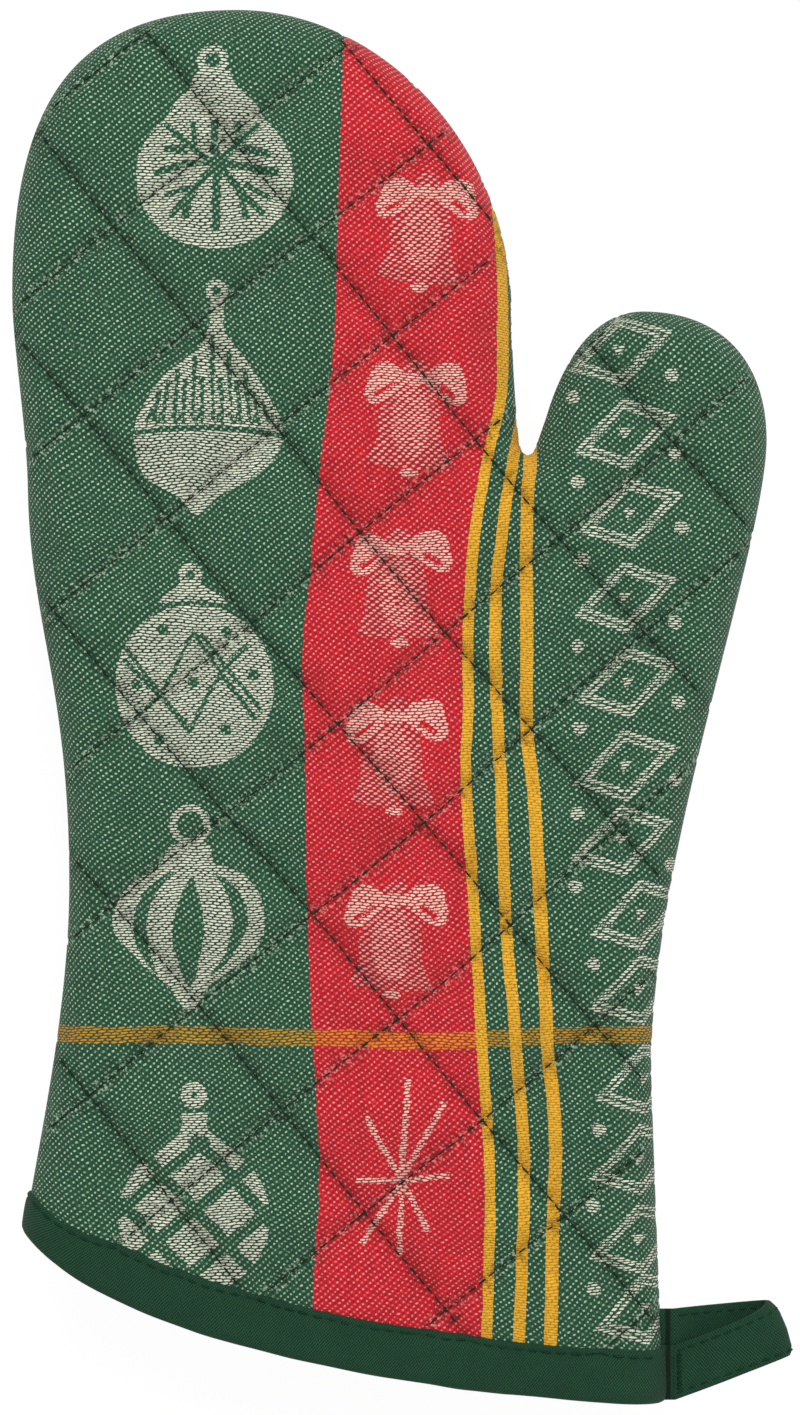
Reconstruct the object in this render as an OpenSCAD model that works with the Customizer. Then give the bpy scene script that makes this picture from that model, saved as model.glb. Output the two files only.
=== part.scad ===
// Quilted oven mitt with a bound cuff and a hanging loop, lying on its back.
// +Y runs to the fingertips, +X to the thumb side and +Z up through the front.
// The origin is under the middle of the whole object, on the surface that it lies on.
// Each side is three plies: outer shell, batting and lining. Every ply is cut into a
// hand, a thumb and a finger piece along the two lines where the mitt folds.

/* [Mitt] */
// Length from the fingertips to the lowest point of the cuff
mitt_length = 330; // [280:5:380]
// Thickness of the stuffed mitt, shell to shell
mitt_thickness = 22; // [20:1:30]
// How far in from the seam the rounded edge reaches
rim_run = 14; // [12:1:16]

/* [Plies] */
// Thickness of the woven outer shell
shell_t = 0.8; // [0.6:0.1:1.0]
// Thickness of the batting
batting_t = 3.4; // [3.0:0.1:4.0]
// Thickness of the lining
lining_t = 0.6; // [0.4:0.1:0.8]
// How far a line of thread stands on its cloth
thread_t = 0.3; // [0.2:0.1:0.4]
// Width of a line of stitching
stitch_w = 0.8; // [0.6:0.1:1.2]

/* [Quilting] */
// Distance between the stitch lines that rise to the right
rise_pitch = 30.7; // [24:0.1:40]
// Distance between the stitch lines that fall to the right
fall_pitch = 34.6; // [24:0.1:40]
// Angle of the rising lines from the width of the mitt
quilt_angle = 40; // [30:1:50]

/* [Cuff] */
// Visible width of the binding
binding_w = 12; // [10:1:14]
// Thickness of the binding tape
binding_t = 0.6; // [0.5:0.1:0.7]

/* [Loop] */
// Width of the loop's tape
tape_w = 13; // [10:1:14]
// Thickness of the loop's folded tape
tape_t = 1.4; // [1.0:0.1:1.6]
// How far the loop reaches from its fold line
loop_reach = 26; // [22:0.5:30]

/* [Folds] */
// Largest forward fold of the finger pocket
finger_fold = 60; // [30:5:60]
// Largest forward fold of the thumb
thumb_fold = 50; // [30:5:50]
// Largest backward fold of either
back_fold = 15; // [10:5:20]

/* [Hidden] */

shell_green = "darkgreen";
batting_white = "ivory";
lining_cream = "wheat";
thread_brown = "saddlebrown";
binding_green = "seagreen";

size = mitt_length / 330;          // the cutting pattern is drawn at 330 long
half = mitt_thickness / 2;         // from the seam to the outside of a side
seam_z = half + binding_t;         // height of the seam above the surface
quilt_origin = [-7.3, 41.2];       // where two stitch lines cross
rim_angles = [0, 32, 62, 90];      // where the rounded edge has its rings
apart = 0.5;                       // clearance of each side at a fold line

// How deep each ply reaches below the outside
shell_in = shell_t;
batting_in = shell_in + batting_t;
lining_in = batting_in + lining_t;

// Fold lines: the fingers fold along X, the thumb along a line from the crotch to its base
finger_fold_y = 78 * size;
crotch = [30.4, 59.6] * size;
thumb_line = unit([0.61, -0.79]);
thumb_line_l = 70 * size;
thumb_line_angle = atan2(thumb_line.y, thumb_line.x);

// The loop folds along the side seam at the cuff
loop_x = 65 * size;
loop_gap = 4.6;
loop_base_y = [-158, -149.5] * size;  // middle of the tape at the seam, top leg and bottom leg
loop_tip_y = -147.5 * size;
loop_steps = 24;

// ---- The cutting pattern ----

function bezier(a, b, c, d, n) =
    [for (i = [1 : n]) let (t = i / n, s = 1 - t)
        s * s * s * a + 3 * s * s * t * b + 3 * s * t * t * c + t * t * t * d];

// Counter-clockwise from the cuff's thumb side, carried on past the cuff edge to be cut off there
pattern = size * concat(
    [[62.4, -190], [62.4, -164]],
    bezier([62.4, -164], [61, -142], [59.3, -118], [59.5, -88], 3),
    bezier([59.5, -88], [59.5, -35], [87, 38], [87, 63], 9),
    bezier([87, 63], [87, 81.5], [76.5, 93.6], [57.5, 93.6], 6),
    bezier([57.5, 93.6], [45, 93.6], [38, 80.5], [34.5, 68.5], 5),
    bezier([34.5, 68.5], [32.5, 63], [31.8, 59.6], [30.4, 59.6], 3),
    bezier([30.4, 59.6], [29, 59.6], [28.4, 61.5], [28.2, 64], 3),
    bezier([28.2, 64], [27.4, 72], [26.7, 84], [26.6, 92], 2),
    bezier([26.6, 92], [26.3, 131], [-3, 165], [-38.5, 165], 9),
    bezier([-38.5, 165], [-74.5, 165], [-92, 141], [-92, 97], 9),
    bezier([-92, 97], [-92, 50], [-78.5, 0], [-78.5, -42], 6),
    bezier([-78.5, -42], [-78.5, -72], [-86, -104], [-89, -124], 4),
    [[-89, -190]]
);

cuff_edge = size * concat([[-91, -122]], bezier([-91, -122], [-72, -148], [-12, -161], [64, -165], 12));

function unit(v) = v / norm(v);
function left_of(v) = [-v.y, v.x];

// A closed outline moved inwards by d
function inset(points, d) = let (n = len(points))
    [for (i = [0 : n - 1])
        points[i] + d * left_of(unit(points[(i + 1) % n] - points[(i + n - 1) % n]))];

// An open line moved to its left by d
function beside(points, d) = let (last = len(points) - 1)
    [for (i = [0 : last])
        points[i] + d * left_of(unit(points[min(i + 1, last)] - points[max(i - 1, 0)]))];

// ---- One ply of a side, from the seam plane at z = 0 up ----

function run_at(depth) = rim_run * (half - depth) / half;
function ring(depth, angle) =
    [for (p = inset(pattern, depth + run_at(depth) * (1 - cos(angle))))
        [p.x, p.y, (half - depth) * sin(angle)]];

module ply(outer, inner) {
    n = len(pattern);
    rings = len(rim_angles);
    points = concat(
        [for (a = rim_angles) each ring(outer, a)],
        [for (a = rim_angles) each ring(inner, a)]
    );
    second = rings * n;  // first point of the inner surface
    sides = [for (k = [0 : rings - 2], i = [0 : n - 1])
        let (j = (i + 1) % n, a = k * n + i, b = k * n + j, c = a + n, d = b + n)
        each [
            [a, c, b], [b, c, d],
            [second + a, second + b, second + c], [second + b, second + d, second + c]
        ]];
    seam = [for (i = [0 : n - 1]) let (j = (i + 1) % n) [i, j, second + j, second + i]];
    outer_cap = [for (i = [n - 1 : -1 : 0]) (rings - 1) * n + i];
    inner_cap = [for (i = [0 : n - 1]) second + (rings - 1) * n + i];
    polyhedron(points, concat(sides, seam, [outer_cap, inner_cap]));
}

// Everything from low to high along the mitt, measured in from the cuff edge
module from_cuff(low, high = 0) {
    reach = 120 * size;
    top = 200 * size;
    start = beside(cuff_edge, low);
    end = beside(cuff_edge, high);
    last = len(cuff_edge) - 1;
    linear_extrude(4 * half, center = true)
        if (high > 0)
            polygon(concat(
                [[-reach, start[0].y]], start, [[reach, start[last].y]],
                [[reach, end[last].y]], [for (i = [last : -1 : 0]) end[i]], [[-reach, end[0].y]]
            ));
        else
            polygon(concat(
                [[-reach, start[0].y]], start, [[reach, start[last].y], [reach, top], [-reach, top]]
            ));
}

// One ply down to the raw edge inside the binding's fold
module cut_ply(outer, inner) {
    intersection() {
        ply(outer, inner);
        from_cuff(binding_t);
    }
}

// Everything inside both sides at one depth, as one closed body about the seam plane
module lens(depth) {
    n = len(pattern);
    rings = len(rim_angles);
    levels = 2 * rings - 1;
    points = [for (k = [1 - rings : rings - 1])
        each [for (p = ring(depth, rim_angles[abs(k)])) [p.x, p.y, sign(k) * p.z]]];
    sides = [for (k = [0 : levels - 2], i = [0 : n - 1])
        let (j = (i + 1) % n, a = k * n + i, b = k * n + j, c = a + n, d = b + n)
        each [[a, c, b], [b, c, d]]];
    top = [for (i = [n - 1 : -1 : 0]) (levels - 1) * n + i];
    bottom = [for (i = [0 : n - 1]) i];
    polyhedron(points, concat(sides, [top, bottom]));
}

// ---- The three folding regions ----

module fingers_area() {
    translate([-120 * size, finger_fold_y, -half * 2])
        cube([120 * size + crotch.x, 120 * size, half * 4]);
}

module thumb_area() {
    far = crotch + thumb_line * 100 * size;
    linear_extrude(4 * half, center = true)
        polygon([crotch, far, [120 * size, far.y], [120, 120] * size, [crotch.x, 120 * size]]);
}

// A groove in the fold plane's own frame: it runs along +X and opens upwards on each side
module groove(length, front_angle, back_angle) {
    h = half + 2;
    top = apart + h * tan(front_angle / 2);
    bottom = apart + h * tan(back_angle / 2);
    rotate([90, 0, 90])
        linear_extrude(length)
            polygon([[-apart, 0], [-bottom, -h], [bottom, -h], [apart, 0], [top, h], [-top, h]]);
}

module finger_groove() {
    translate([-120 * size, finger_fold_y, 0]) groove(120 * size + crotch.x, finger_fold, back_fold);
}

module thumb_groove() {
    early = 3;  // starts in the open crotch
    translate([crotch.x, crotch.y, 0])
        rotate([0, 0, thumb_line_angle])
            translate([-early, 0, 0])
                groove(thumb_line_l + 4 * early, thumb_fold, back_fold);
}

module in_region(region) {
    difference() {
        if (region == "hand")
            children();
        else
            intersection() {
                children();
                if (region == "fingers") fingers_area(); else thumb_area();
            }
        finger_groove();
        thumb_groove();
        if (region == "hand") {
            fingers_area();
            thumb_area();
        }
    }
}

// ---- Sides ----

module side_region(side, region) {
    translate([0, 0, seam_z])
        in_region(region)
            if (side == "front") children();
            else mirror([0, 0, 1]) children();
}

// Soft pieces are smooth only as far as their facets go
module faceted() {
    resize([0, 0, 0]) children();
}

module cloth(side, region, outer, inner) {
    faceted() side_region(side, region) cut_ply(outer, inner);
}

module shell(side, region) {
    color(shell_green) cloth(side, region, 0, shell_in);
}

module batting(side, region) {
    color(batting_white) cloth(side, region, shell_in, batting_in);
}

module lining(side, region) {
    color(lining_cream) cloth(side, region, batting_in, lining_in);
}

// Lines of quilting across the whole pattern, as tall bars
module quilt_bars() {
    long = 460 * size;
    lines = 7;
    translate(size * quilt_origin) rotate([0, 0, quilt_angle]) {
        for (i = [-lines : lines])
            translate([-long / 2, i * rise_pitch - stitch_w / 2, 0]) cube([long, stitch_w, 2 * half]);
        for (i = [-lines : lines])
            translate([i * fall_pitch - stitch_w / 2, -long / 2, 0]) cube([stitch_w, long, 2 * half]);
    }
}

// The quilting thread stands on the shell, from just inside the seam
module quilting(side, region) {
    edge = 2;
    color(thread_brown)
        faceted()
            side_region(side, region)
                intersection() {
                    ply(-thread_t, 0);
                    quilt_bars();
                    linear_extrude(2 * half) polygon(inset(pattern, edge));
                    from_cuff(binding_w + 0.5);
                }
}

// The raw edges of all the plies, turned in and overlocked together along the seam
module seam_overlock(region) {
    outside = lining_in + 0.4;
    inside = lining_in + 5;
    color(lining_cream)
        faceted()
            translate([0, 0, seam_z])
                in_region(region)
                    intersection() {
                        linear_extrude(2.4, center = true)
                            difference() {
                                polygon(inset(pattern, outside));
                                polygon(inset(pattern, inside));
                            }
                        from_cuff(binding_w);
                    }
}

// ---- Cuff ----

// The tape is folded over the raw edges of the plies, on both sides and round the side seams
module cuff_binding() {
    color(binding_green)
        faceted()
            translate([0, 0, seam_z])
                difference() {
                    intersection() {
                        lens(-binding_t);
                        from_cuff(0, binding_w);
                    }
                    difference() {
                        intersection() {
                            lens(0);
                            from_cuff(binding_t);
                        }
                        lens(lining_in);
                    }
                    lens(lining_in + binding_t);
                    topstitch(-binding_t - 1);
                }
}

// A line of thread pressed into the outer leaf of the binding, near its upper edge
module topstitch(top) {
    from_edge = 1.6;
    line = binding_w - from_edge;
    for (face = [0, 1])
        mirror([0, 0, face])
            intersection() {
                ply(top, thread_t - binding_t);
                from_cuff(line - stitch_w, line);
                linear_extrude(2 * half) polygon(inset(pattern, 2));
            }
}

module binding_topstitch() {
    color(binding_green) faceted() translate([0, 0, seam_z]) topstitch(-binding_t);
}

// ---- Hanging loop ----

// Middle of the tape at angle t: out along the top leg, round the tip at 180 and back below
function loop_out(t) = (1 - cos(t)) / 2;
function loop_mid(t) = let (out = loop_out(t), base = t < 180 ? loop_base_y[0] : loop_base_y[1])
    [loop_x + loop_reach * size * out,
     base + (loop_tip_y - base) * out,
     loop_gap * sin(t) * sin(t / 2) + (tape_t / 2 + 0.05) * cos(t / 2)];

// Outward normal of the tape in the XZ plane
function loop_normal(t) = let (step = 2, a = loop_mid(max(t - step, 0)), b = loop_mid(min(t + step, 360)))
    unit([a.z - b.z, 0, b.x - a.x]);

function loop_section(t, width, inner, outer) = let (m = loop_mid(t), n = loop_normal(t), w = [0, width / 2, 0])
    [m - w + n * inner, m + w + n * inner, m + w + n * outer, m - w + n * outer];

// A band of the tape's own path, from inner to outer across its thickness
module loop_band(width, inner, outer, from = 0, to = 360, steps = loop_steps) {
    angles = [for (i = [0 : steps]) from + i * (to - from) / steps];
    points = [for (t = angles) each loop_section(t, width, inner, outer)];
    last = 4 * steps;
    polyhedron(points, concat(
        [for (i = [0 : steps - 1], k = [0 : 3])
            let (a = 4 * i + k, b = 4 * i + (k + 1) % 4, c = a + 4, d = b + 4)
            each [[a, b, c], [b, d, c]]],
        [[3, 2, 1, 0], [last, last + 1, last + 2, last + 3]]
    ));
}

module hanging_loop() {
    color(binding_green) faceted() translate([0, 0, seam_z]) loop_band(tape_w, -tape_t / 2, tape_t / 2);
}

// Thread along one folded edge of the tape, on its outside
module loop_edge_stitch() {
    from_middle = tape_w / 2 - 1.5;
    color(binding_green)
        faceted()
            translate([0, from_middle, seam_z])
                loop_band(stitch_w, tape_t / 2, tape_t / 2 + thread_t);
}

// Bar tacks across both legs, close to the fold line
module loop_bar_tack() {
    tack_l = tape_w - 5;
    color(binding_green)
        faceted()
            translate([0, 0, seam_z])
                for (start = [22, 330])
                    loop_band(tack_l, tape_t / 2, tape_t / 2 + thread_t, start, start + 8, 2);
}

// ---- Nodes ----

regions = ["hand", "fingers", "thumb"];
for (region = regions, side = ["front", "back"]) {
    shell(side, region);
    batting(side, region);
    lining(side, region);
    quilting(side, region);
}
for (region = regions)
    seam_overlock(region);
cuff_binding();
binding_topstitch();
hanging_loop();
loop_edge_stitch();
loop_bar_tack();
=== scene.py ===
"""Looks of a quilted oven mitt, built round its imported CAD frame. Lengths below are in millimetres."""

import math

import bpy
import numpy as np
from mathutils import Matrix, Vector
from mathutils.bvhtree import BVHTree
from mathutils.geometry import delaunay_2d_cdt


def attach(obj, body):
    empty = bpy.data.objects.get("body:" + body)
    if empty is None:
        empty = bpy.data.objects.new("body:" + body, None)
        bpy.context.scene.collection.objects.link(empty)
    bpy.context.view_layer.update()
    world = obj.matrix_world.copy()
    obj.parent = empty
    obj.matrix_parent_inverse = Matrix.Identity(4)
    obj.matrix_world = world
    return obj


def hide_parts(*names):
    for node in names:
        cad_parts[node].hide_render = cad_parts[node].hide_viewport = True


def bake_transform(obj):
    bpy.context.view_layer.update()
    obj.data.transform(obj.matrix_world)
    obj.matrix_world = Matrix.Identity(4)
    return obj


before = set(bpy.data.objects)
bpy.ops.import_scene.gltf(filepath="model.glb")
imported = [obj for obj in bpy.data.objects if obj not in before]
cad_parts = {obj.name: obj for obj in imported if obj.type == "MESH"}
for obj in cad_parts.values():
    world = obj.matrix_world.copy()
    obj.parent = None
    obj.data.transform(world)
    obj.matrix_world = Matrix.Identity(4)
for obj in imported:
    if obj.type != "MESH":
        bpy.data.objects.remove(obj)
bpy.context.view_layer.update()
rng = np.random.default_rng(11)

MM = 0.001
SIM_FRAMES = 24  # length of the cloth simulation
SEAM_Z = 11.6  # height of the seam between front and back
HALF = 11.0  # from the seam to the outside of a side
RIM = 14.0  # how far in the rounded edge reaches
SHELL, BATTING, LINING = 0.8, 4.2, 4.8  # depths of the plies' inner faces
BINDING_W = 12.6  # how much of the cuff binding shows
SPLIT_Y = 61.9  # below this line the fingers' cloth doesn't move
CROTCH = np.array([30.4, 59.6])
CHUNK = 4000  # points compared at a time, to spare memory


# ---- Plane geometry ----


def bezier(a, b, c, d, step=2.0):
    a, b, c, d = (np.array(p, float) for p in (a, b, c, d))
    length = np.linalg.norm(b - a) + np.linalg.norm(c - b) + np.linalg.norm(d - c)
    t = np.linspace(0, 1, max(2, int(length / step)) + 1)[1:, None]
    s = 1 - t
    return s**3 * a + 3 * s * s * t * b + 3 * s * t * t * c + t**3 * d


def chain(start, *curves, step=2.0):
    """Béziers one after the other, each given by its two handles and its end."""
    points, here = [np.array([start], float)], start
    for c1, c2, end in curves:
        points.append(bezier(here, c1, c2, end, step))
        here = end
    return np.concatenate(points)


def spline(knots, closed=False, step=1.2):
    """A smooth curve through the knots."""
    k = np.array(knots, float)
    if closed:
        k = np.concatenate([k[-1:], k, k[:2]])
    else:
        k = np.concatenate([2 * k[:1] - k[1:2], k, 2 * k[-1:] - k[-2:-1]])
    out = []
    for a, b, c, d in zip(k, k[1:], k[2:], k[3:]):
        n = max(1, int(np.linalg.norm(c - b) / step))
        t = np.linspace(0, 1, n + 1)[:-1, None]
        square, cube = 2 * a - 5 * b + 4 * c - d, 3 * b - a - 3 * c + d
        out.append(0.5 * (2 * b + (c - a) * t + square * t**2 + cube * t**3))
    if not closed:
        out.append(k[-2:-1])
    return np.concatenate(out)


def dense(points, closed=False, step=1.4):
    p = np.array(points, float)
    ends = np.roll(p, -1, axis=0) if closed else p[1:]
    starts = p if closed else p[:-1]
    out = []
    for a, b in zip(starts, ends):
        n = max(1, math.ceil(np.linalg.norm(b - a) / step))
        out.append(a + (b - a) * np.linspace(0, 1, n + 1)[:-1, None])
    if not closed:
        out.append(p[-1:])
    return np.concatenate(out)


def unit(v, small=1e-9):
    return v / (np.linalg.norm(v, axis=1)[:, None] + small)


def leftward(line):
    """Unit vectors to the left of an open line, one for each point."""
    d = unit(np.gradient(line, axis=0))
    return np.stack([-d[:, 1], d[:, 0]], 1)


def side_of(points, distance):
    """An open line moved to its left."""
    return points + distance * leftward(points)


def arc(points):
    """Length along a line at each of its points."""
    return np.concatenate([[0], np.cumsum(np.linalg.norm(np.diff(points, axis=0), axis=1))])


def read(at, s, values):
    """Rows of values, known at lengths s, at other lengths."""
    return np.stack([np.interp(at, s, column) for column in values.T], 1)


def ribbon(points, width, taper=1.0):
    """A stroke along an open line, as a closed polygon."""
    p = dense(points)
    w = width / 2 * (1 + (taper - 1) * np.linspace(0, 1, len(p)))[:, None]
    return np.concatenate([side_of(p, 1) * w + p * (1 - w), (side_of(p, -1) * w + p * (1 - w))[::-1]])


def oval(x, y, rx, ry=None):
    ry = rx if ry is None else ry
    n = max(8, int(2 * math.pi * max(rx, ry) / 1.1))
    a = np.linspace(0, 2 * math.pi, n, endpoint=False)
    return np.stack([x + rx * np.cos(a), y + ry * np.sin(a)], 1)


def staggered(step):
    """Points in staggered rows over the whole mitt."""
    x, y = np.meshgrid(np.arange(-93, 89, step), np.arange(-170, 167, step * 0.866))
    x = x + (np.arange(len(y)) % 2)[:, None] * step / 2
    return np.stack([x.ravel(), y.ravel()], 1)


def inside(points, polygon):
    """Which points lie in a polygon."""
    x, y = points[:, 0], points[:, 1]
    low, high = polygon.min(0), polygon.max(0)
    near = np.flatnonzero((x >= low[0]) & (x <= high[0]) & (y >= low[1]) & (y <= high[1]))
    found = np.zeros(len(points), bool)
    if not len(near):
        return found
    px, py, odd = x[near], y[near], np.zeros(len(near), bool)
    for (x1, y1), (x2, y2) in zip(polygon, np.roll(polygon, -1, axis=0)):
        if y1 != y2:
            cross = (y1 > py) != (y2 > py)
            odd ^= cross & (px < (x2 - x1) * (py - y1) / (y2 - y1) + x1)
    found[near] = odd
    return found


def nearest(points, line):
    """Distance from each point to an open line, with the place on the line and the length along it."""
    a, d, start = line[:-1], np.diff(line, axis=0), arc(line)
    seg = np.linalg.norm(d, axis=1)
    best, place, along = np.full(len(points), 1e9), np.zeros((len(points), 2)), np.zeros(len(points))
    for k in range(0, len(points), CHUNK):
        part = slice(k, k + CHUNK)
        p = points[part, None, :]
        t = np.clip(((p - a) * d).sum(2) / (seg**2), 0, 1)
        q = a + t[..., None] * d
        r = np.linalg.norm(p - q, axis=2)
        i = r.argmin(1)
        rows = np.arange(len(i))
        best[part], place[part] = r[rows, i], q[rows, i]
        along[part] = start[i] + t[rows, i] * seg[i]
    return best, place, along


# ---- The mitt's outline and cuff edge, as cut in CAD ----

OUTLINE = chain(
    (62.4, -190),
    ((62.4, -182), (62.4, -172), (62.4, -164)),
    ((61.8, -142), (60.6, -118), (59.7, -88)),
    ((58.8, -37), (86.8, 37), (87, 63)),
    ((87, 81.5), (76.5, 93.6), (57.5, 93.6)),
    ((45, 93.6), (38, 80.5), (34.5, 68.5)),
    ((32.5, 63), (31.8, 59.6), (30.4, 59.6)),
    ((29, 59.6), (28.4, 61.5), (28.2, 64)),
    ((27.4, 72), (26.7, 84), (26.6, 92)),
    ((27.2, 131.5), (-3.6, 165), (-38.5, 165)),
    ((-77, 165), (-92.2, 143.5), (-92, 97)),
    ((-92, 86), (-88.5, 66), (-88.3, 51)),
    ((-87.7, 19), (-78.5, 5), (-78.5, -42)),
    ((-78.5, -72), (-86, -104), (-89, -124)),
    ((-89, -150), (-89, -170), (-89, -190)),
    step=1.9,
)
CUFF = np.concatenate(
    [[[-100, -116]], chain((-91, -122), ((-73, -146.3), (-12, -161), (64, -165)), step=1.9), [[76, -165.8]]]
)


def from_cuff(points):
    """How far inside the cuff edge each point lies."""
    d, _, _ = nearest(points, CUFF)
    return np.where(points[:, 1] > np.interp(points[:, 0], CUFF[:, 0], CUFF[:, 1]), d, -d)


# ---- Quilting ----

CROSSING = np.array([-7.9, 42.2])
RISE = np.array([26.6, 22.1])  # from one crossing to the next, up to the right
FALL = np.array([19.8, -23.5])  # from one crossing to the next, down to the right
AREA = abs(RISE[0] * FALL[1] - RISE[1] * FALL[0])
RISE_GAP, FALL_GAP = AREA / np.linalg.norm(RISE), AREA / np.linalg.norm(FALL)
TO_CELLS = np.linalg.inv(np.stack([RISE, FALL], 1))


def wander(p):
    """Hand-guided stitching isn't quite straight."""
    x, y = p[:, 0], p[:, 1]
    dx = 1.1 * np.sin(y / 41 + 0.4) + 0.5 * np.sin(x / 19 + y / 27)
    dy = 1.2 * np.sin(x / 37 + 1.1) + 0.5 * np.sin(y / 21 - x / 33)
    return np.stack([dx, dy], 1)


def cells(p):
    return (p - CROSSING + wander(p)) @ TO_CELLS.T


def line_distance(p):
    """Distance to the nearest rising line and to the nearest falling line."""
    c = cells(p)
    off = np.abs(c - np.round(c))
    return off[:, 1] * RISE_GAP, off[:, 0] * FALL_GAP


def quilt_lines(step):
    """Every stitch line as points in the plane, the rising ones first."""
    lines = []
    for rising in (True, False):
        for k in range(-12, 13):
            t = np.arange(-12, 12, step / 33)
            other = np.full_like(t, k)
            straight = np.stack([t, other] if rising else [other, t], 1) @ np.stack([RISE, FALL]) + CROSSING
            flat = straight
            for _ in range(4):  # undo the wander
                flat = straight - wander(flat)
            lines.append(flat)
    return lines


# ---- The shape of a side ----


def bumps(p, seed, sizes=((34, 1.0), (17, 0.5), (9, 0.25))):
    """Smooth seeded unevenness, about -1 to 1."""
    r = np.random.default_rng(seed)
    out = np.zeros(len(p))
    for size, share in sizes:
        for _ in range(6):
            a, phase = r.uniform(0, 2 * math.pi, 2)
            k = 2 * math.pi / (size * r.uniform(0.8, 1.3))
            out += share / 3.2 * np.sin(k * (p[:, 0] * math.cos(a) + p[:, 1] * math.sin(a)) + phase)
    return out


def dome(d):
    return HALF * np.sqrt(np.clip(1 - (1 - np.clip(d / RIM, 0, 1)) ** 2, 0, 1))


def pucker_fold(p):
    """The crease that runs down from the crotch."""
    line = spline([(29.6, 60), (25.6, 50), (22.6, 36), (22.5, 20), (24, 6)])
    d, _, along = nearest(p, line)
    fade = np.clip(1 - along / 58, 0, 1)
    return -2.2 * fade * np.exp(-((d / 2.2) ** 2)) + 0.9 * fade * np.exp(-(((d - 4.6) / 2.4) ** 2))


class Side:
    """One side of the mitt: a flat pattern turned into a padded, quilted surface. sign is 1 for the front."""

    def __init__(self, sign, seed):
        self.sign, self.seed = sign, seed
        self.lift = None

    def base(self, p):
        """Height above the seam without the cloth's own pillows."""
        d, _, _ = nearest(p, OUTLINE)
        c = from_cuff(p)
        rise, fall = line_distance(p)
        open_field = np.clip((d - 1.5) / 9, 0, 1) * np.clip((c - BINDING_W + 3) / 8, 0, 1)
        near = np.exp(-((np.minimum(rise, fall) / 2.8) ** 2))
        z = dome(d) - 2.7 * near * open_field
        z += 0.5 * bumps(p, self.seed) * np.clip(d / 10, 0, 1)
        if self.sign > 0:
            z += pucker_fold(p) * np.clip(d / 6, 0.25, 1)
        else:
            z = np.minimum(z, HALF + 0.35)  # it lies on a flat surface
        return np.maximum(z, 0)

    def inflate(self):
        """Cloth simulation: batting pushes the shell up between the edges and stitch lines that hold it."""
        loose = staggered(3.0)
        held = np.concatenate(quilt_lines(2.6))
        both = np.concatenate([loose, held])
        is_held = np.arange(len(both)) >= len(loose)
        d, _, _ = nearest(both, OUTLINE)
        keep = inside(both, OUTLINE) & (d > 1.2) & (from_cuff(both) > 1)
        rise, fall = line_distance(both)
        keep &= is_held | (np.minimum(rise, fall) > 1.3)
        both, is_held = both[keep], is_held[keep]
        edge = np.concatenate([OUTLINE[OUTLINE[:, 1] > -175], CUFF[1:-1]])
        points = np.concatenate([both, edge])
        is_held = np.concatenate([is_held, np.ones(len(edge), bool)])
        verts, _, faces, source, _, _ = delaunay_2d_cdt([Vector(q) for q in points], [], [], 0, 1e-4)
        flat = np.array([tuple(v) for v in verts])
        pinned = np.array([any(is_held[i] for i in s) if s else True for s in source])
        pinned |= from_cuff(flat) < BINDING_W - 1
        tri = np.array(faces)
        mid = flat[tri].mean(1)
        tri = tri[inside(mid, OUTLINE) & (from_cuff(mid) > 0)]
        start = np.column_stack([flat, self.base(flat)])
        obj = make("sim", start, tri)
        group = obj.vertex_groups.new(name="held")
        group.add(np.flatnonzero(pinned).tolist(), 1.0, "REPLACE")
        cloth = obj.modifiers.new("cloth", "CLOTH")
        s = cloth.settings
        s.quality, s.mass, s.air_damping = 6, 0.25, 2.0
        s.tension_stiffness = s.compression_stiffness = 10
        s.shear_stiffness, s.bending_stiffness = 4, 0.1
        s.tension_damping = s.compression_damping = 8
        s.use_pressure, s.uniform_pressure_force = True, 190.0
        s.vertex_group_mass = "held"
        s.shrink_min = s.shrink_max = -0.02
        s.effector_weights.gravity = 0
        cloth.collision_settings.use_collision = False
        cloth.point_cache.frame_start, cloth.point_cache.frame_end = 1, SIM_FRAMES
        for f in range(1, SIM_FRAMES + 1):
            bpy.context.scene.frame_set(f)
        done = obj.evaluated_get(bpy.context.evaluated_depsgraph_get())
        co = np.array([tuple(v.co) for v in done.data.vertices]) / MM
        bpy.context.scene.frame_set(1)
        bpy.data.objects.remove(obj)
        self.raster(flat, tri, np.clip(co - start, -4, 4))

    def raster(self, flat, tri, move, step=1.5):
        """The simulated movement on a regular grid, so that any mesh can read it smoothly."""
        tree = BVHTree.FromPolygons([(x, y, 0) for x, y in flat], tri.tolist())
        gx, gy = np.arange(-96, 94, step), np.arange(-172, 170, step)
        grid = np.zeros((len(gy), len(gx), 3))
        for j, y in enumerate(gy):
            for i, x in enumerate(gx):
                where, _, face, far = tree.find_nearest((x, y, 0))
                if face is None or far > 0.5:
                    continue
                a, b, c = flat[tri[face]]
                t = np.linalg.solve(np.array([b - a, c - a]).T, np.array(where[:2]) - a)
                w = np.array([1 - t.sum(), t[0], t[1]])
                grid[j, i] = w @ move[tri[face]]
        self.lift = (gx[0], gy[0], step, grid)

    def moved(self, p):
        """The simulated movement at points in the plane, by cubic interpolation."""
        if self.lift is None:
            return np.zeros((len(p), 3))
        x0, y0, step, grid = self.lift
        u = np.clip((p[:, 0] - x0) / step, 1, grid.shape[1] - 3)
        v = np.clip((p[:, 1] - y0) / step, 1, grid.shape[0] - 3)
        i, j = u.astype(int), v.astype(int)
        fu, fv = u - i, v - j

        def weights(t):
            inner = (3 * t**3 - 6 * t**2 + 4) / 6, (-3 * t**3 + 3 * t**2 + 3 * t + 1) / 6
            return [((1 - t) ** 3) / 6, *inner, t**3 / 6]

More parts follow.
